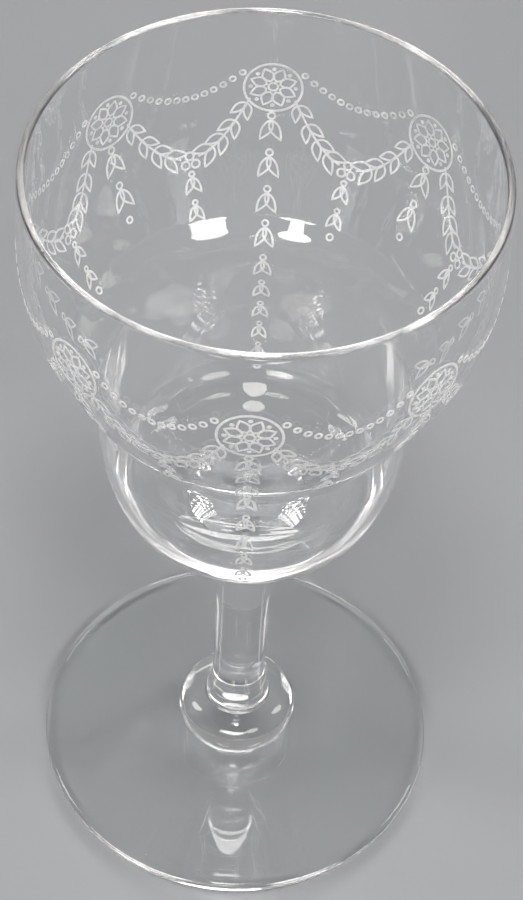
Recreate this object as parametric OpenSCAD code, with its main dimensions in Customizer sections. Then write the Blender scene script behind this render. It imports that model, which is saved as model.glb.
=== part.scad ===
// Water goblet in clear glass: a stepped bowl, a flared stem, a flattened knop and a round foot.
// Millimetres, +Z up, origin on the axis in the plane that the foot rests on.
// Angles called slope are degrees from upright.

/* [Overall] */
// Height from the table to the top of the rim
height = 162.5; // [150:0.5:180]

/* [Bowl] */
// Outside diameter at the widest place
belly_d = 80.2; // [78:0.2:84]
// Distance of the widest place below the rim
belly_drop = 15.3; // [12:0.1:19]
// How far the rim stands in from the widest place
rim_inset = 0.7; // [0.4:0.1:2]
// Radius of the wall's curve below the widest place
belly_curve = 42; // [38:0.5:48]
// Slope of the wall where it runs down to the shoulder
wall_slope = 23.5; // [20:0.5:26]
// Radius of the shoulder that overhangs the cup
shoulder_curve = 4; // [3:0.1:6]
// Slope of the underside of the shoulder
under_slope = 45; // [40:0.5:52]
// How far the shoulder stands out beyond the cup
step_w = 5.1; // [4.6:0.1:6]
// Radius of the hollow curve between shoulder and cup
nip_curve = 10; // [6:0.2:11]
// Outside diameter of the cup under the shoulder
cup_d = 55; // [52:0.2:58]
// Height of the upright part of the cup
cup_neck = 9.9; // [6:0.1:13]
// Radius of the cup's side below its upright part
cup_curve = 45; // [40:0.5:52]
// Slope at which the cup's side turns into its lower corner
cup_slope = 21; // [19:0.5:24]
// Radius of the cup's lower corner
corner_curve = 8; // [6:0.2:10]
// Slope at which the corner turns into the base
base_slope = 62; // [58:0.5:64]
// Radius of the base of the cup
base_curve = 30; // [27:0.5:34]
// Thickness of the wall
wall = 1.3; // [1:0.1:1.8]
// Inside, the slope at which the cup's side turns into its lower corner
inner_slope = 15; // [13:0.5:16]

/* [Stem] */
// Diameter of the shaft
stem_d = 10.3; // [8:0.1:11]
// Diameter of the lower end, where the shaft spreads onto the knop
spread_d = 13.3; // [11.2:0.1:14]
// Height of the spread
spread_h = 10.5; // [7:0.1:14]
// Power of the spread: higher keeps it slim for longer
spread_power = 1.5; // [1.2:0.1:2.5]
// Diameter of the head that carries the bowl
head_d = 23; // [18:0.2:25]
// Height of the flare under the bowl
flare_h = 36; // [26:0.5:42]
// Power of the flare: higher keeps it slim for longer
flare_power = 2.2; // [1.8:0.1:3]

/* [Knop] */
// Diameter of the flattened ball under the stem
knop_d = 23.9; // [22:0.1:27]
// Height of the knop
knop_h = 9.8; // [7.6:0.1:10.6]

/* [Foot] */
// Diameter of the foot
foot_d = 80; // [72:0.5:88]
// Thickness of the rounded edge
foot_edge = 2.4; // [2:0.1:3]
// Height of the seat for the knop
foot_seat = 4.5; // [4:0.1:6]
// Power of the rise from edge to seat: higher keeps the foot flat for longer
foot_power = 1.7; // [1.3:0.1:2.4]
// Width of the flat ring that the foot rests on
rest_w = 4; // [3:0.1:6]
// Height of the hollow under the middle of the foot
foot_hollow = 1.5; // [0.6:0.1:1.8]

/* [Hidden] */
$fn = 96;

// A direction that leans out by a slope, and the points of a convex or a hollow arc between two slopes.
function lean(slope) = [cos(slope), -sin(slope)];
function between(start, end, steps) = [for (i = [0 : steps]) start + (end - start) * i / steps];
function bulge(centre, radius, start, end, steps) =
    [for (slope = between(start, end, steps)) centre + radius * lean(slope)];
function hollow(centre, radius, start, end, steps) =
    [for (slope = between(start, end, steps)) centre - radius * lean(slope)];

// Rim and belly
lip_r = wall / 2;
belly_r = belly_d / 2;
belly_z = height - belly_drop;
rim_curve = (belly_drop * belly_drop + rim_inset * rim_inset) / (2 * rim_inset);
rim_centre = [belly_r - rim_curve, belly_z];
rim_slope = asin((belly_drop - lip_r) / (rim_curve - lip_r));
lip_centre = rim_centre + (rim_curve - lip_r) * lean(-rim_slope);
belly_centre = [belly_r - belly_curve, belly_z];
belly_end = belly_centre + belly_curve * lean(wall_slope);

// Shoulder and the hollow under it
cup_r = cup_d / 2;
shoulder_r = cup_r + step_w;
shoulder_start = [shoulder_r, belly_end.y - (belly_end.x - shoulder_r) / tan(wall_slope)];
shoulder_centre = shoulder_start - shoulder_curve * lean(wall_slope);
shoulder_end = shoulder_centre + shoulder_curve * lean(under_slope);
nip_start_r = cup_r + nip_curve * (1 - cos(under_slope));
nip_start_z = shoulder_end.y - (shoulder_end.x - nip_start_r) / tan(under_slope);
nip_centre = [cup_r + nip_curve, nip_start_z - nip_curve * sin(under_slope)];

// Cup, outside
cup_centre = [cup_r - cup_curve, nip_centre.y - cup_neck];
corner_centre = cup_centre + (cup_curve - corner_curve) * lean(cup_slope);
base_centre = corner_centre + (corner_curve - base_curve) * lean(base_slope);
head_r = head_d / 2;
head_slope = acos((head_r - base_centre.x) / base_curve);
head_z = base_centre.y - base_curve * sin(head_slope);

// Cup, inside
corner_in = corner_curve - wall;
corner_in_centre = cup_centre + (cup_curve - wall - corner_in) * lean(inner_slope);
floor_curve = corner_in + corner_in_centre.x / cos(base_slope);
floor_centre = [0, corner_in_centre.y + (floor_curve - corner_in) * sin(base_slope)];

// Stem, knop and foot
stem_r = stem_d / 2;
knop_r = knop_d / 2;
knop_z = foot_seat + knop_h / 2;
knop_top = foot_seat + knop_h;
seat_r = knop_r - knop_h / 2;
spread_r = min(spread_d / 2, seat_r);
foot_r = foot_d / 2;
edge_r = foot_edge / 2;
top_r = foot_r - edge_r;
hollow_r = top_r - rest_w;

function stem_at(z) =
    stem_r
    + (spread_r - stem_r) * pow(max(0, 1 - (z - knop_top) / spread_h), spread_power)
    + (head_r - stem_r) * pow(max(0, 1 - (head_z - z) / flare_h), flare_power);
function foot_top_at(r) =
    foot_edge + (foot_seat - foot_edge) * pow((top_r - r) / (top_r - seat_r), foot_power);
function foot_under_at(r) = foot_hollow * (1 - pow(r / hollow_r, 2));

// One blown piece. Outside from the stem's head up to the rim, over the lip, and down the inside.
module bowl() {
    outside = concat(
        bulge(rim_centre, rim_curve, -rim_slope, 0, 8),
        bulge(belly_centre, belly_curve, 0, wall_slope, 12),
        bulge(shoulder_centre, shoulder_curve, wall_slope, under_slope, 6),
        hollow(nip_centre, nip_curve, under_slope, 0, 10),
        bulge(cup_centre, cup_curve, 0, cup_slope, 10),
        bulge(corner_centre, corner_curve, cup_slope, base_slope, 8),
        bulge(base_centre, base_curve, base_slope, head_slope, 6)
    );
    lip = bulge(lip_centre, lip_r, -rim_slope - 180, -rim_slope, 10);
    inside = concat(
        bulge(rim_centre, rim_curve - wall, -rim_slope, 0, 8),
        bulge(belly_centre, belly_curve - wall, 0, wall_slope, 12),
        bulge(shoulder_centre, shoulder_curve - wall, wall_slope, under_slope, 6),
        hollow(nip_centre, nip_curve + wall, under_slope, 0, 10),
        bulge(cup_centre, cup_curve - wall, 0, inner_slope, 8),
        bulge(corner_in_centre, corner_in, inner_slope, base_slope, 8),
        bulge(floor_centre, floor_curve, base_slope, 90, 8)
    );
    color([0.82, 0.90, 0.94, 0.55])
        rotate_extrude()
            polygon(concat(
                [[0, head_z]],
                [for (i = [len(outside) - 1 : -1 : 0]) outside[i]],
                [for (i = [len(lip) - 2 : -1 : 1]) lip[i]],
                inside
            ));
}

// Solid shaft that spreads onto the knop and flares up to the head that the bowl is fused to.
module stem() {
    color([0.76, 0.86, 0.92, 0.6])
        rotate_extrude()
            polygon(concat(
                [[0, knop_top]],
                [for (z = between(knop_top, head_z, 48)) [stem_at(z), z]],
                [[0, head_z]]
            ));
}

// Flattened ball with flat faces for the stem and the foot.
module knop() {
    color([0.70, 0.82, 0.90, 0.6])
        rotate_extrude()
            polygon(concat(
                [[0, knop_top]],
                bulge([seat_r, knop_z], knop_h / 2, -90, 90, 24),
                [[0, foot_seat]]
            ));
}

// Disc with a rounded edge that rises to the knop's seat and is hollowed underneath.
module foot() {
    color([0.82, 0.90, 0.94, 0.55])
        rotate_extrude()
            polygon(concat(
                [[0, foot_seat]],
                [for (r = between(seat_r, top_r, 14)) [r, foot_top_at(r)]],
                bulge([top_r, edge_r], edge_r, -90, 90, 12),
                [for (r = between(hollow_r, 0, 10)) [r, foot_under_at(r)]]
            ));
}

bowl();
stem();
knop();
foot();
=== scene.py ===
"""Looks of the water goblet.

Clear glass pieces are turned on the frame's axis, and a classical band is etched on the outside of the bowl.
"""

import math

import bpy
from mathutils import Matrix, Vector


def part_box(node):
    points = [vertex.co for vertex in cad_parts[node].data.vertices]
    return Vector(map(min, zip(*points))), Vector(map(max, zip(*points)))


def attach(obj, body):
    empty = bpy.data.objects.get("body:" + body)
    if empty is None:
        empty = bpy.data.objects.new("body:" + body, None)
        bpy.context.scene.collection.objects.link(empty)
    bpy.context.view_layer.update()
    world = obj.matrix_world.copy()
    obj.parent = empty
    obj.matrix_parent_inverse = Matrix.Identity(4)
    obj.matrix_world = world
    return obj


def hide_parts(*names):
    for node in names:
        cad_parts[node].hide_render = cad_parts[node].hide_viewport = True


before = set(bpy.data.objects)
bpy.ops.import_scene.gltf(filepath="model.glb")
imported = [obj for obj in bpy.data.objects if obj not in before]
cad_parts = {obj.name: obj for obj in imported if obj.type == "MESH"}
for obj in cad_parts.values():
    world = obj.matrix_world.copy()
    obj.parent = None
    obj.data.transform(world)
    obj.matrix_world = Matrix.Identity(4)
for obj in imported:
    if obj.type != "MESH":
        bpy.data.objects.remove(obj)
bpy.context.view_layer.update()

MM = 0.001
TINY = 1e-7
NEAR = 1e-6

# Heights and radii that the frame gives, in metres
_, bowl_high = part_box("bowl")
_, stem_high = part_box("stem")
knop_low, knop_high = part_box("knop")
_, foot_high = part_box("foot")
HEIGHT = bowl_high.z
BELLY_R = bowl_high.x
HEAD_Z = stem_high.z
HEAD_R = stem_high.x
KNOP_TOP = knop_high.z
KNOP_R = knop_high.x
KNOP_H = knop_high.z - knop_low.z
FOOT_SEAT = foot_high.z
FOOT_R = foot_high.x

# Curves of the glass: slopes are degrees from upright
BELLY_DROP = 15.3 * MM
RIM_INSET = 0.7 * MM
BELLY_CURVE = 42 * MM
WALL_SLOPE = 23.5
SHOULDER_CURVE = 4 * MM
UNDER_SLOPE = 45
STEP_W = 5.1 * MM
NIP_CURVE = 10 * MM
CUP_R = 27.5 * MM
CUP_NECK = 9.9 * MM
CUP_CURVE = 45 * MM
CUP_SLOPE = 21
CORNER_CURVE = 8 * MM
BASE_SLOPE = 62
BASE_CURVE = 30 * MM
WALL = 1.3 * MM
INNER_SLOPE = 15
STEM_R = 5.15 * MM
SPREAD_R = 6.65 * MM
SPREAD_H = 10.5 * MM
SPREAD_POWER = 1.5
FLARE_H = 36 * MM
FLARE_POWER = 2.2
FOOT_EDGE = 2.4 * MM
FOOT_POWER = 1.7
REST_W = 4 * MM
FOOT_HOLLOW = 1.5 * MM
SEAT_R = KNOP_R - KNOP_H / 2

# Fineness of the turned pieces: ARC_STEP is in degrees
TURNS = 192
ARC_FEWEST = 3
ARC_STEP = 2.5
ARC_LENGTH = 1.2 * MM
LIP_STEPS = 16
SPREAD_STEPS = 30
SHAFT_STEPS = 12
FLARE_STEPS = 48
UNDER_STEPS = 40
EDGE_STEPS = 24
TOP_STEPS = 48
SHARP_EDGE = math.radians(20)


# Outlines in the half plane of radius and height

def lean(slope):
    """A direction that points outward at slope 0 and straight down at slope 90."""
    a = math.radians(slope)
    return Vector((math.cos(a), -math.sin(a)))


def arc_count(radius, start, end):
    turn = abs(end - start)
    by_turn = math.ceil(turn / ARC_STEP)
    by_length = math.ceil(math.radians(turn) * radius / ARC_LENGTH)
    return max(ARC_FEWEST, by_turn, by_length)


def bulge(centre, radius, start, end, steps=None):
    """Points of a convex arc between two slopes."""
    n = steps or arc_count(radius, start, end)
    return [centre + radius * lean(start + (end - start) * i / n) for i in range(n + 1)]


def hollow(centre, radius, start, end):
    """Points of a hollow arc between two slopes."""
    n = arc_count(radius, start, end)
    return [centre - radius * lean(start + (end - start) * i / n) for i in range(n + 1)]


def sampled(curve, start, end, n):
    return [curve(start + (end - start) * i / n) for i in range(n + 1)]


def joined(*stretches):
    """One outline from stretches that follow on from each other, without doubled points."""
    out = []
    for stretch in stretches:
        for p in stretch:
            if not out or (p - out[-1]).length > TINY:
                out.append(p)
    return out


def bowl_outlines():
    """Outside and inside of the bowl from the rim down, and the lip from outside to inside."""
    belly_z = HEIGHT - BELLY_DROP
    lip_r = WALL / 2
    rim_curve = (BELLY_DROP ** 2 + RIM_INSET ** 2) / (2 * RIM_INSET)
    rim_c = Vector((BELLY_R - rim_curve, belly_z))
    rim_slope = math.degrees(math.asin((BELLY_DROP - lip_r) / (rim_curve - lip_r)))
    lip_c = rim_c + (rim_curve - lip_r) * lean(-rim_slope)
    belly_c = Vector((BELLY_R - BELLY_CURVE, belly_z))
    belly_end = belly_c + BELLY_CURVE * lean(WALL_SLOPE)
    shoulder_r = CUP_R + STEP_W
    shoulder_z = belly_end.y - (belly_end.x - shoulder_r) / math.tan(math.radians(WALL_SLOPE))
    shoulder_c = Vector((shoulder_r, shoulder_z)) - SHOULDER_CURVE * lean(WALL_SLOPE)
    under = shoulder_c + SHOULDER_CURVE * lean(UNDER_SLOPE)
    under_turn = math.radians(UNDER_SLOPE)
    nip_r = CUP_R + NIP_CURVE * (1 - math.cos(under_turn))
    nip_z = under.y - (under.x - nip_r) / math.tan(under_turn)
    nip_c = Vector((CUP_R + NIP_CURVE, nip_z - NIP_CURVE * math.sin(under_turn)))
    cup_c = Vector((CUP_R - CUP_CURVE, nip_c.y - CUP_NECK))
    corner_c = cup_c + (CUP_CURVE - CORNER_CURVE) * lean(CUP_SLOPE)
    base_c = corner_c + (CORNER_CURVE - BASE_CURVE) * lean(BASE_SLOPE)
    head_slope = math.degrees(math.acos((HEAD_R - base_c.x) / BASE_CURVE))
    corner_in = CORNER_CURVE - WALL
    corner_in_c = cup_c + (CUP_CURVE - WALL - corner_in) * lean(INNER_SLOPE)
    base_turn = math.radians(BASE_SLOPE)
    floor_curve = corner_in + corner_in_c.x / math.cos(base_turn)
    floor_c = Vector((0, corner_in_c.y + (floor_curve - corner_in) * math.sin(base_turn)))
    outside = joined(
        bulge(rim_c, rim_curve, -rim_slope, 0),
        bulge(belly_c, BELLY_CURVE, 0, WALL_SLOPE),
        bulge(shoulder_c, SHOULDER_CURVE, WALL_SLOPE, UNDER_SLOPE),
        hollow(nip_c, NIP_CURVE, UNDER_SLOPE, 0),
        bulge(cup_c, CUP_CURVE, 0, CUP_SLOPE),
        bulge(corner_c, CORNER_CURVE, CUP_SLOPE, BASE_SLOPE),
        bulge(base_c, BASE_CURVE, BASE_SLOPE, head_slope),
    )
    lip = bulge(lip_c, lip_r, -rim_slope, -rim_slope - 180, LIP_STEPS)
    inside = joined(
        bulge(rim_c, rim_curve - WALL, -rim_slope, 0),
        bulge(belly_c, BELLY_CURVE - WALL, 0, WALL_SLOPE),
        bulge(shoulder_c, SHOULDER_CURVE - WALL, WALL_SLOPE, UNDER_SLOPE),
        hollow(nip_c, NIP_CURVE + WALL, UNDER_SLOPE, 0),
        bulge(cup_c, CUP_CURVE - WALL, 0, INNER_SLOPE),
        bulge(corner_in_c, corner_in, INNER_SLOPE, BASE_SLOPE),
        bulge(floor_c, floor_curve, BASE_SLOPE, 90),
    )
    return outside, lip, inside


def stem_outline():
    """Shaft that spreads onto the knop and flares to the bowl."""
    spread_z = KNOP_TOP + SPREAD_H
    flare_z = HEAD_Z - FLARE_H

    def side(z):
        spread = max(0.0, 1 - (z - KNOP_TOP) / SPREAD_H) ** SPREAD_POWER
        flare = max(0.0, 1 - (HEAD_Z - z) / FLARE_H) ** FLARE_POWER
        return Vector((STEM_R + (SPREAD_R - STEM_R) * spread + (HEAD_R - STEM_R) * flare, z))

    return joined(
        [Vector((0, KNOP_TOP))],
        sampled(side, KNOP_TOP, spread_z, SPREAD_STEPS),
        sampled(side, spread_z, flare_z, SHAFT_STEPS),
        sampled(side, flare_z, HEAD_Z, FLARE_STEPS),
        [Vector((0, HEAD_Z))],
    )


def knop_outline():
    """Flattened ball, with a point on its top where the stem's disc ends."""
    return joined(
        [Vector((0, FOOT_SEAT))],
        bulge(Vector((SEAT_R, FOOT_SEAT + KNOP_H / 2)), KNOP_H / 2, 90, -90),
        [Vector((SPREAD_R, KNOP_TOP)), Vector((0, KNOP_TOP))],
    )


def foot_outline():
    """Disc with a hollow underside, a rounded edge and a top that rises to the knop."""
    edge_r = FOOT_EDGE / 2
    top_r = FOOT_R - edge_r
    rest_r = top_r - REST_W

    def under(r):
        return Vector((r, FOOT_HOLLOW * (1 - (r / rest_r) ** 2)))

    def top(r):
        rise = ((top_r - r) / (top_r - SEAT_R)) ** FOOT_POWER
        return Vector((r, FOOT_EDGE + (FOOT_SEAT - FOOT_EDGE) * rise))

    return joined(
        sampled(under, 0, rest_r, UNDER_STEPS),
        bulge(Vector((top_r, edge_r)), edge_r, 90, -90, EDGE_STEPS),
        sampled(top, top_r, SEAT_R, TOP_STEPS),
        [Vector((0, FOOT_SEAT))],
    )


# Turned glass pieces

def in_seam(p, q, seams):
    """Whether the stretch from p to q lies in the flat disc of a seam, given by height and radius."""
    flat = abs(p.y - q.y) < TINY
    return flat and any(abs(p.y - z) < NEAR and max(p.x, q.x) < r + NEAR for z, r in seams)


def lathe(name, outline, seams):
    """A closed body of revolution from an outline that runs from axis to axis. Faces in a seam get slot 1."""
    verts, rings = [], []
    for p in outline:
        if p.x < TINY:
            rings.append([len(verts)])
            verts.append((0, 0, p.y))
            continue
        rings.append(list(range(len(verts), len(verts) + TURNS)))
        for k in range(TURNS):
            a = 2 * math.pi * k / TURNS
            verts.append((p.x * math.cos(a), p.x * math.sin(a), p.y))
    faces, slots = [], []
    for i, (low, high) in enumerate(zip(rings, rings[1:])):
        slot = int(in_seam(outline[i], outline[i + 1], seams))
        for k in range(TURNS):
            n = (k + 1) % TURNS
            if len(low) == 1:
                face = (low[0], high[n], high[k])
            elif len(high) == 1:
                face = (low[k], low[n], high[0])
            else:
                face = (low[k], low[n], high[n], high[k])
            faces.append(face)
            slots.append(slot)
    mesh = bpy.data.meshes.new(name)
    mesh.from_pydata(verts, [], faces)
    mesh.polygons.foreach_set("material_index", slots)
    mesh.shade_smooth()
    mesh.set_sharp_from_angle(angle=SHARP_EDGE)
    mesh.validate()
    piece = bpy.data.objects.new(name, mesh)
    bpy.context.scene.collection.objects.link(piece)
    return piece


# Materials: a tone is a place on the noise, from 0 to 1, and the colour there
GLASS_IOR = 1.5
GLASS_ROUGHEST = 0.02
CLEAR = (1.0, 1.0, 1.0, 1.0)
BOWL_TINT = (0.985, 0.992, 0.994, 1)
STEM_TINT = (0.975, 0.988, 0.992, 1)
FOOT_TINT = (0.980, 0.990, 0.993, 1)
RIPPLE_DEPTH = 0.3 * MM
RIPPLE_STRETCH = (1, 1, 0.35)
FROST_TONES = ((0.3, (0.80, 0.81, 0.82, 1)), (0.75, (0.97, 0.97, 0.96, 1)))
FROST_THROUGH = 0.2
FLOOR_TONES = ((0.35, (0.245, 0.252, 0.263, 1)), (0.65, (0.266, 0.273, 0.284, 1)))


def node_tree(material):
    material.use_nodes = True
    tree = material.node_tree
    tree.nodes.clear()
    return tree, tree.nodes.new("ShaderNodeOutputMaterial")


def noise(tree, scale, detail, stretch=(1, 1, 1)):
    place = tree.nodes.new("ShaderNodeTexCoord")
    mapping = tree.nodes.new("ShaderNodeMapping")
    mapping.inputs["Scale"].default_value = stretch
    tex = tree.nodes.new("ShaderNodeTexNoise")
    tex.inputs["Scale"].default_value = scale
    tex.inputs["Detail"].default_value = detail
    tree.links.new(place.outputs["Object"], mapping.inputs["Vector"])
    tree.links.new(mapping.outputs["Vector"], tex.inputs["Vector"])
    return tex.outputs["Fac"]


def ramp(tree, fac, stops):
    node = tree.nodes.new("ShaderNodeValToRGB")
    first, last = node.color_ramp.elements
    (first.position, first.color), (last.position, last.color) = stops
    tree.links.new(fac, node.inputs["Fac"])
    return node.outputs["Color"]


def between(tree, fac, low, high):
    node = tree.nodes.new("ShaderNodeMapRange")
    node.inputs["To Min"].default_value = low
    node.inputs["To Max"].default_value = high
    tree.links.new(fac, node.inputs["Value"])
    return node.outputs["Result"]


def glass(name, tint, ripple):
    """Clear glass whose colour, polish and surface drift a little, as in blown and drawn glass."""
    material = bpy.data.materials.new(name)
    tree, out = node_tree(material)
    bsdf = tree.nodes.new("ShaderNodeBsdfPrincipled")
    bsdf.inputs["Transmission Weight"].default_value = 1.0
    bsdf.inputs["IOR"].default_value = GLASS_IOR
    colour = ramp(tree, noise(tree, scale=30, detail=2), ((0.3, CLEAR), (0.7, tint)))
    polish = between(tree, noise(tree, scale=120, detail=3), 0.0, GLASS_ROUGHEST)
    bump = tree.nodes.new("ShaderNodeBump")
    bump.inputs["Strength"].default_value = ripple
    bump.inputs["Distance"].default_value = RIPPLE_DEPTH
    waves = noise(tree, scale=45, detail=1, stretch=RIPPLE_STRETCH)
    tree.links.new(colour, bsdf.inputs["Base Color"])
    tree.links.new(polish, bsdf.inputs["Roughness"])
    tree.links.new(waves, bump.inputs["Height"])
    tree.links.new(bump.outputs["Normal"], bsdf.inputs["Normal"])
    tree.links.new(bsdf.outputs["BSDF"], out.inputs["Surface"])
    return material


def fused_seam():
    """Fused glass has no surface at a joint, so light goes straight on there."""
    material = bpy.data.materials.new("fused_seam")
    tree, out = node_tree(material)
    clear = tree.nodes.new("ShaderNodeBsdfTransparent")
    tree.links.new(clear.outputs["BSDF"], out.inputs["Surface"])
    return material


def etched():
    """White frosted line that scatters light to both sides, a little patchy as acid leaves it."""
    material = bpy.data.materials.new("etched_frost")
    tree, out = node_tree(material)
    colour = ramp(tree, noise(tree, scale=900, detail=3), FROST_TONES)
    front = tree.nodes.new("ShaderNodeBsdfDiffuse")
    through = tree.nodes.new("ShaderNodeBsdfTranslucent")
    mix = tree.nodes.new("ShaderNodeMixShader")
    mix.inputs["Fac"].default_value = FROST_THROUGH
    for shader in (front, through):
        tree.links.new(colour, shader.inputs["Color"])
    tree.links.new(front.outputs["BSDF"], mix.inputs[1])
    tree.links.new(through.outputs["BSDF"], mix.inputs[2])
    tree.links.new(mix.outputs["Shader"], out.inputs["Surface"])
    return material


def floor_paint():
    """Pale matt paint with a slight drift of tone."""
    material = bpy.data.materials.new("floor_paint")
    tree, out = node_tree(material)
    bsdf = tree.nodes.new("ShaderNodeBsdfPrincipled")
    bsdf.inputs["Roughness"].default_value = 0.9
    bsdf.inputs["Specular IOR Level"].default_value = 0.2
    colour = ramp(tree, noise(tree, scale=6, detail=3), FLOOR_TONES)
    tree.links.new(colour, bsdf.inputs["Base Color"])
    tree.links.new(bsdf.outputs["BSDF"], out.inputs["Surface"])
    return material


# The four glass pieces: piece, node, outline, seams, tint and strength of the ripple
SEAM = fused_seam()
outside, lip, inside = bowl_outlines()
bowl_outline = joined([Vector((0, HEAD_Z))], outside[::-1], lip, inside)
head_seam = (HEAD_Z, HEAD_R)
stem_seam = (KNOP_TOP, SPREAD_R)
foot_seam = (FOOT_SEAT, SEAT_R)
turned = (
    ("goblet_bowl", "bowl", bowl_outline, (head_seam,), BOWL_TINT, 0.02),
    ("goblet_stem", "stem", stem_outline(), (head_seam, stem_seam), STEM_TINT, 0.015),
    ("goblet_knop", "knop", knop_outline(), (stem_seam, foot_seam), STEM_TINT, 0.01),
    ("goblet_foot", "foot", foot_outline(), (foot_seam,), FOOT_TINT, 0.015),
)
for name, node, outline, seams, tint, ripple in turned:
    piece = lathe(name, outline, seams)
    piece.data.materials.append(glass(node + "_clear_glass", tint, ripple))
    piece.data.materials.append(SEAM)
    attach(piece, "root")
    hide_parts(node)


# The bowl's outer surface, by angle and by distance along the wall below the rim
drops = [0.0]
for p, q in zip(outside, outside[1:]):
    drops.append(drops[-1] + (q - p).length)


def on_wall(drop):
    """Point in the half plane and outward normal of the outer wall at a distance below the rim."""
    i = 1
    while i < len(drops) - 1 and drops[i] < drop:
        i += 1
    t = (drop - drops[i - 1]) / (drops[i] - drops[i - 1])
    p, q = outside[i - 1], outside[i]
    along = (q - p).normalized()
    return p.lerp(q, t), Vector((-along.y, along.x))


def drop_at(height):
    """Distance below the rim at which the outer wall has a height."""
    for i, (p, q) in enumerate(zip(outside, outside[1:])):
        if q.y <= height:
            return drops[i] + (drops[i + 1] - drops[i]) * (p.y - height) / (p.y - q.y)
    return drops[-1]


class Etching:
    """Thin closed ribbons that lie on the skin of the bowl."""

    LOW = 0.012 * MM
    HIGH = 0.05 * MM
    SECTION = ((-1, LOW), (1, LOW), (1, HIGH), (-1, HIGH))

    def __init__(self, name):
        self.name, self.verts, self.faces = name, [], []

    def draw(self, shape, angle, drop, width, closed=True):
        """A ribbon along a flat shape in millimetres, x along the wall and y up it, laid round a point."""
        points = []
        for x, y in shape:
            at = drop - y * MM
            points.append((angle + x * MM / on_wall(at)[0].x, at))
        self.stroke(points, width, closed)

    def stroke(self, points, width, closed):
        """A ribbon through points that are given by angle and drop."""
        places, normals = [], []
        for angle, drop in points:
            p, n = on_wall(drop)
            out = Vector((math.cos(angle), math.sin(angle), 0))
            places.append(out * p.x + Vector((0, 0, p.y)))
            normals.append(out * n.x + Vector((0, 0, n.y)))
        count, first, corners = len(places), len(self.verts), len(self.SECTION)
        for i in range(count):
            before = places[i - 1] if closed or i else places[0]
            after = places[(i + 1) % count] if closed or i < count - 1 else places[-1]
            side = normals[i].cross(after - before).normalized() * (width / 2)
            for across, up in self.SECTION:
                self.verts.append(places[i] + side * across + normals[i] * up)
        for i in range(count if closed else count - 1):
            a = first + corners * i
            b = first + corners * ((i + 1) % count)
            for k in range(corners):
                n = (k + 1) % corners
                self.faces.append((a + k, a + n, b + n, b + k))
        if not closed:
            last = first + corners * (count - 1)
            self.faces.append(tuple(reversed(range(first, first + corners))))
            self.faces.append(tuple(range(last, last + corners)))

    def finish(self, material):
        mesh = bpy.data.meshes.new(self.name)
        mesh.from_pydata(self.verts, [], self.faces)
        mesh.validate()
        mesh.materials.append(material)
        piece = bpy.data.objects.new(self.name, mesh)
        bpy.context.scene.collection.objects.link(piece)
        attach(piece, "root")


# Flat shapes in millimetres
LEAF_STEPS = 9
LEAF_FULLNESS = 0.8


def polar(radius, turn):
    return radius * math.cos(turn), radius * math.sin(turn)


def ring(radius, sides=16):
    return [polar(radius, 2 * math.pi * i / sides) for i in range(sides)]


def leaf(length, width, bend=0.0):
    """A pointed leaf's outline from its foot at the origin, along +x and widest nearer its foot."""
    upper = []
    for i in range(LEAF_STEPS + 1):
        t = i / LEAF_STEPS
        upper.append((length * t, width / 2 * math.sin(math.pi * t ** LEAF_FULLNESS) + bend * t * t))
    lower = [(x, 2 * bend * (x / length) ** 2 - y) for x, y in upper[-2:0:-1]]
    return upper + lower


def shifted(shape, x, y, turn=0.0):
    c, s = math.cos(turn), math.sin(turn)
    return [(x + c * u - s * v, y + s * u + c * v) for u, v in shape]


# The etched band: lines, repeats round the bowl, and its height. Sizes of its motifs are in millimetres
FROST = etched()
LINE = 0.46 * MM
FINE = 0.4 * MM
REPEATS = 8
STEP = 2 * math.pi / REPEATS
FIRST = math.pi / 2
BAND_DROP = drop_at(144.5 * MM)

# Rosettes
ROSETTE_R = 5.2
ROSETTE_SIDES = 40
EYE_R = 0.85
PETALS = 8
PETAL_START = 1.3
PETAL_L = 3.0
PETAL_W = 2.1
DOT_R = 0.22
DOT_SIDES = 8
DOT_PLACE = 4.0


def etch_rosettes():
    """A ring round eight petals with dots between their tips."""
    rosettes = Etching("etched_rosettes")
    for k in range(REPEATS):
        at = FIRST + k * STEP
        rosettes.draw(ring(ROSETTE_R, ROSETTE_SIDES), at, BAND_DROP, LINE)
        rosettes.draw(ring(EYE_R), at, BAND_DROP, FINE)
        for i in range(PETALS):
            turn = 2 * math.pi * (i + 0.5) / PETALS
            petal = shifted(leaf(PETAL_L, PETAL_W), *polar(PETAL_START, turn), turn)
            rosettes.draw(petal, at, BAND_DROP, FINE)
            dot = shifted(ring(DOT_R, DOT_SIDES), *polar(DOT_PLACE, 2 * math.pi * i / PETALS))
            rosettes.draw(dot, at, BAND_DROP, FINE)
    rosettes.finish(FROST)


# Festoons of pearls
PEARLS = 13
PEARL_R = 0.55
PEARL_SIDES = 12
PEARL_SPAN = 10.2
PEARL_TOP = 3.2
PEARL_SAG = 4.6


def etch_pearls():
    """Pearls that hang in a curve from rosette to rosette."""
    pearls = Etching("etched_pearl_festoons")
    for k in range(REPEATS):
        middle = FIRST + (k + 0.5) * STEP
        for i in range(PEARLS):
            t = 2 * i / (PEARLS - 1) - 1
            pearl = shifted(ring(PEARL_R, PEARL_SIDES), PEARL_SPAN * t, PEARL_TOP - PEARL_SAG * (1 - t * t))
            pearls.draw(pearl, middle, BAND_DROP, FINE)
    pearls.finish(FROST)


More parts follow.
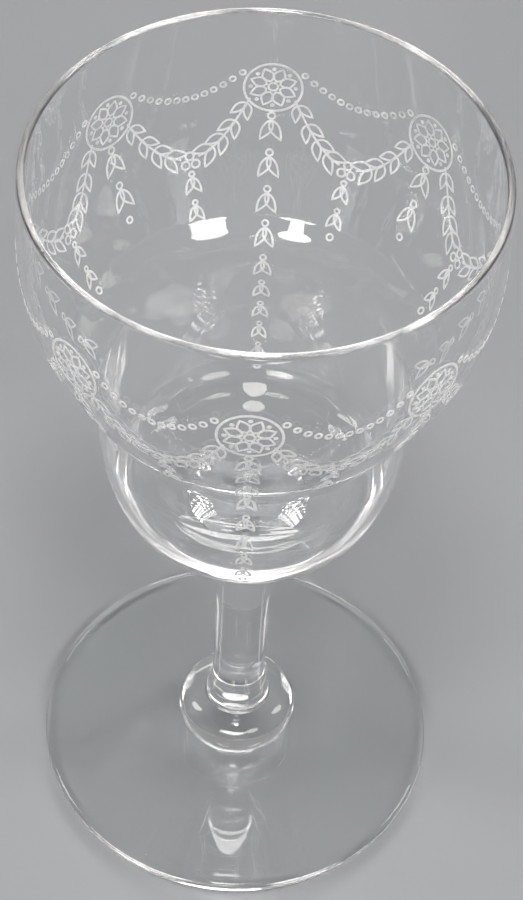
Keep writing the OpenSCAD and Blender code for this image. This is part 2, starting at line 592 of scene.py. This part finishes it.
# Laurel swags: leaves are placed by t, from 0 at the swag's middle to 1 at its end
SWAG_SPAN = 11.6
SWAG_TOP = -2.6
SWAG_SAG = 11.0
STALK_SHARE = 0.86
STALK_STEPS = 20
LEAF_PAIRS = 4
LEAF_FIRST = 0.95
LEAF_APART = 0.19
LEAF_L = 4.4
LEAF_SHRINK = 0.9
LEAF_WIDTH = 0.42
LEAF_BEND = 0.14
LEAF_TURN = math.radians(36)
BERRY_R = 0.75
BERRIES = ((0, 0.5), (-0.95, -1.1), (0.95, -1.1))


def hang(t):
    return SWAG_SPAN * t, SWAG_TOP - SWAG_SAG * (1 - t * t)


SWAG_BOTTOM = hang(0)[1]


def etch_swags():
    """Two sprays under each festoon that grow from the rosettes and meet at a cluster of berries."""
    swags = Etching("etched_laurel_swags")
    for k in range(REPEATS):
        middle = FIRST + (k + 0.5) * STEP
        for side in (-1, 1):
            stalk = [hang(side * (1 - STALK_SHARE * i / STALK_STEPS)) for i in range(STALK_STEPS + 1)]
            swags.draw(stalk, middle, BAND_DROP, FINE, closed=False)
            for i in range(LEAF_PAIRS):
                t = LEAF_FIRST - LEAF_APART * i
                heading = math.atan2(2 * SWAG_SAG * t * side, SWAG_SPAN) + (math.pi if side > 0 else 0)
                length = LEAF_L - LEAF_SHRINK * t
                for hand in (-1, 1):
                    shape = leaf(length, LEAF_WIDTH * length, -LEAF_BEND * hand * length)
                    spray = shifted(shape, *hang(side * t), heading + hand * LEAF_TURN)
                    swags.draw(spray, middle, BAND_DROP, FINE)
        for x, y in BERRIES:
            swags.draw(shifted(ring(BERRY_R), x, SWAG_BOTTOM + y), middle, BAND_DROP, FINE)
    swags.finish(FROST)


# Chains of husks and pearls: widths, bends and steps are shares of a husk's length
LONG_END = drop_at(88 * MM)
SHORT_END = drop_at(128 * MM)
SWAG_END = drop_at(121 * MM)
HUSK = 4.4
SWAG_HUSK = 0.75 * HUSK
HUSK_TAPER = 0.03
HUSK_WIDTH = 0.4
HUSK_BEND = 0.16
HUSK_STEP = 1.36
HUSK_PEARL = 0.15
HUSK_START = 1.3
HUSK_TURN = 0.3
LAST_PEARL_R = 0.6
ROSETTE_GAP = 1.0
BERRY_GAP = 2.9


def husk_chain(husks, at, start, end, size):
    """Pairs of husks under pearls, each a little smaller than the one above, and a last pearl."""
    drop = start
    while drop < end:
        pearl_r = HUSK_PEARL * size
        husks.draw(ring(pearl_r, PEARL_SIDES), at, drop, FINE)
        for hand in (-1, 1):
            shape = leaf(size, HUSK_WIDTH * size, HUSK_BEND * hand * size)
            husk = shifted(shape, 0, -HUSK_START * pearl_r, -math.pi / 2 + HUSK_TURN * hand)
            husks.draw(husk, at, drop, FINE)
        step = HUSK_STEP * size + 2 * pearl_r
        drop += step * MM
        size -= HUSK_TAPER * step
    husks.draw(ring(LAST_PEARL_R, PEARL_SIDES), at, drop, FINE)


def etch_husks():
    """Long and short chains in turn under the rosettes, and a short one under each swag."""
    husks = Etching("etched_husk_drops")
    for k in range(REPEATS):
        at = FIRST + k * STEP
        end = SHORT_END if k % 2 else LONG_END
        husk_chain(husks, at, BAND_DROP + (ROSETTE_R + ROSETTE_GAP) * MM, end, HUSK)
        husk_chain(husks, at + STEP / 2, BAND_DROP - (SWAG_BOTTOM - BERRY_GAP) * MM, SWAG_END, SWAG_HUSK)
    husks.finish(FROST)


etch_rosettes()
etch_pearls()
etch_swags()
etch_husks()


# Floor and light, in metres. The floor lies a hair under the glass, so that there is air in between
FLOOR_GAP = 0.15 * MM
FLOOR_HALF = 20.0
CENTRE = Vector((0, 0, 0.08))
LAMP_COLOUR = (1.0, 0.975, 0.945)
SKY_COLOUR = (0.99, 0.99, 1.0, 1)
SKY_FRONT = 0.5
SKY_BACK = 0.28

# Lamps: name, place, width, height and power in watts
LAMPS = (
    ("key", (4.4, -6.4, 6.0), 3.2, 3.2, 243),
    ("front", (-2.8, -8.0, 6.0), 3.2, 3.2, 269),
    ("left", (-6.4, 0.8, 5.2), 2.0, 4.0, 198),
    ("right", (6.4, 1.2, 5.2), 2.0, 4.0, 166),
    ("back", (0.4, 9.7, 4.8), 6.0, 2.4, 450),
    ("top", (0.0, -0.12, 0.62), 0.1, 0.1, 1.5),
)

# The camera that was fitted to the photo: its focal length is in pixels of the photo
CAMERA_PLACE = (1.9 * MM, -263.3 * MM, 415.9 * MM)
PITCH = math.radians(50.84)
ROLL = math.radians(3.58)
FOCAL_PX = 2301
PHOTO_HEIGHT_PX = 900
SENSOR_MM = 36
CLIP_NEAR = 0.01
CLIP_FAR = 20


def floor():
    sides = ((-1, -1), (1, -1), (1, 1), (-1, 1))
    corners = [(x * FLOOR_HALF, y * FLOOR_HALF, -FLOOR_GAP) for x, y in sides]
    mesh = bpy.data.meshes.new("floor")
    mesh.from_pydata(corners, [], [(0, 1, 2, 3)])
    mesh.materials.append(floor_paint())
    plane = bpy.data.objects.new("floor", mesh)
    bpy.context.scene.collection.objects.link(plane)


def soft_box(name, place, width, height, power):
    """An oval soft lamp that is aimed at the middle of the goblet."""
    data = bpy.data.lights.new(name, "AREA")
    data.shape = "ELLIPSE"
    data.size, data.size_y = width, height
    data.energy = power
    data.color = LAMP_COLOUR
    lamp = bpy.data.objects.new(name, data)
    lamp.location = place
    lamp.rotation_mode = "QUATERNION"
    lamp.rotation_quaternion = (CENTRE - Vector(place)).to_track_quat("-Z", "Y")
    bpy.context.scene.collection.objects.link(lamp)


def surround():
    """A plain surround that is bright in front of the goblet and dims evenly to the back."""
    sky = bpy.data.worlds.new("studio")
    sky.use_nodes = True
    tree = sky.node_tree
    background = tree.nodes["Background"]
    background.inputs["Color"].default_value = SKY_COLOUR
    place = tree.nodes.new("ShaderNodeTexCoord")
    split = tree.nodes.new("ShaderNodeSeparateXYZ")
    fade = tree.nodes.new("ShaderNodeMapRange")
    fade.interpolation_type = "SMOOTHSTEP"
    fade.inputs["From Min"].default_value = -1
    fade.inputs["To Min"].default_value = SKY_FRONT
    fade.inputs["To Max"].default_value = SKY_BACK
    tree.links.new(place.outputs["Generated"], split.inputs["Vector"])
    tree.links.new(split.outputs["Y"], fade.inputs["Value"])
    tree.links.new(fade.outputs["Result"], background.inputs["Strength"])
    bpy.context.scene.world = sky


def camera():
    """A camera that looks along +Y, down by the pitch and turned by the roll."""
    data = bpy.data.cameras.new("camera")
    data.sensor_width = SENSOR_MM
    data.lens = FOCAL_PX * SENSOR_MM / PHOTO_HEIGHT_PX
    data.clip_start, data.clip_end = CLIP_NEAR, CLIP_FAR
    cam = bpy.data.objects.new("camera", data)
    forward = Vector((0, math.cos(PITCH), -math.sin(PITCH)))
    right = Vector((1, 0, 0))
    up = right.cross(forward)
    across = math.cos(ROLL) * right + math.sin(ROLL) * up
    upward = math.cos(ROLL) * up - math.sin(ROLL) * right
    turn = Matrix((across, upward, -forward)).transposed()
    cam.matrix_world = Matrix.Translation(CAMERA_PLACE) @ turn.to_4x4()
    bpy.context.scene.collection.objects.link(cam)
    bpy.context.scene.camera = cam


floor()
for lamp in LAMPS:
    soft_box(*lamp)
surround()
camera()

# Light crosses many faces of glass on its way, so it gets many bounces
scene = bpy.context.scene
scene.view_settings.view_transform = "Standard"
scene.cycles.blur_glossy = 0.0
scene.cycles.max_bounces = 128
scene.cycles.transmission_bounces = 128
scene.cycles.glossy_bounces = 64
scene.cycles.transparent_max_bounces = 64
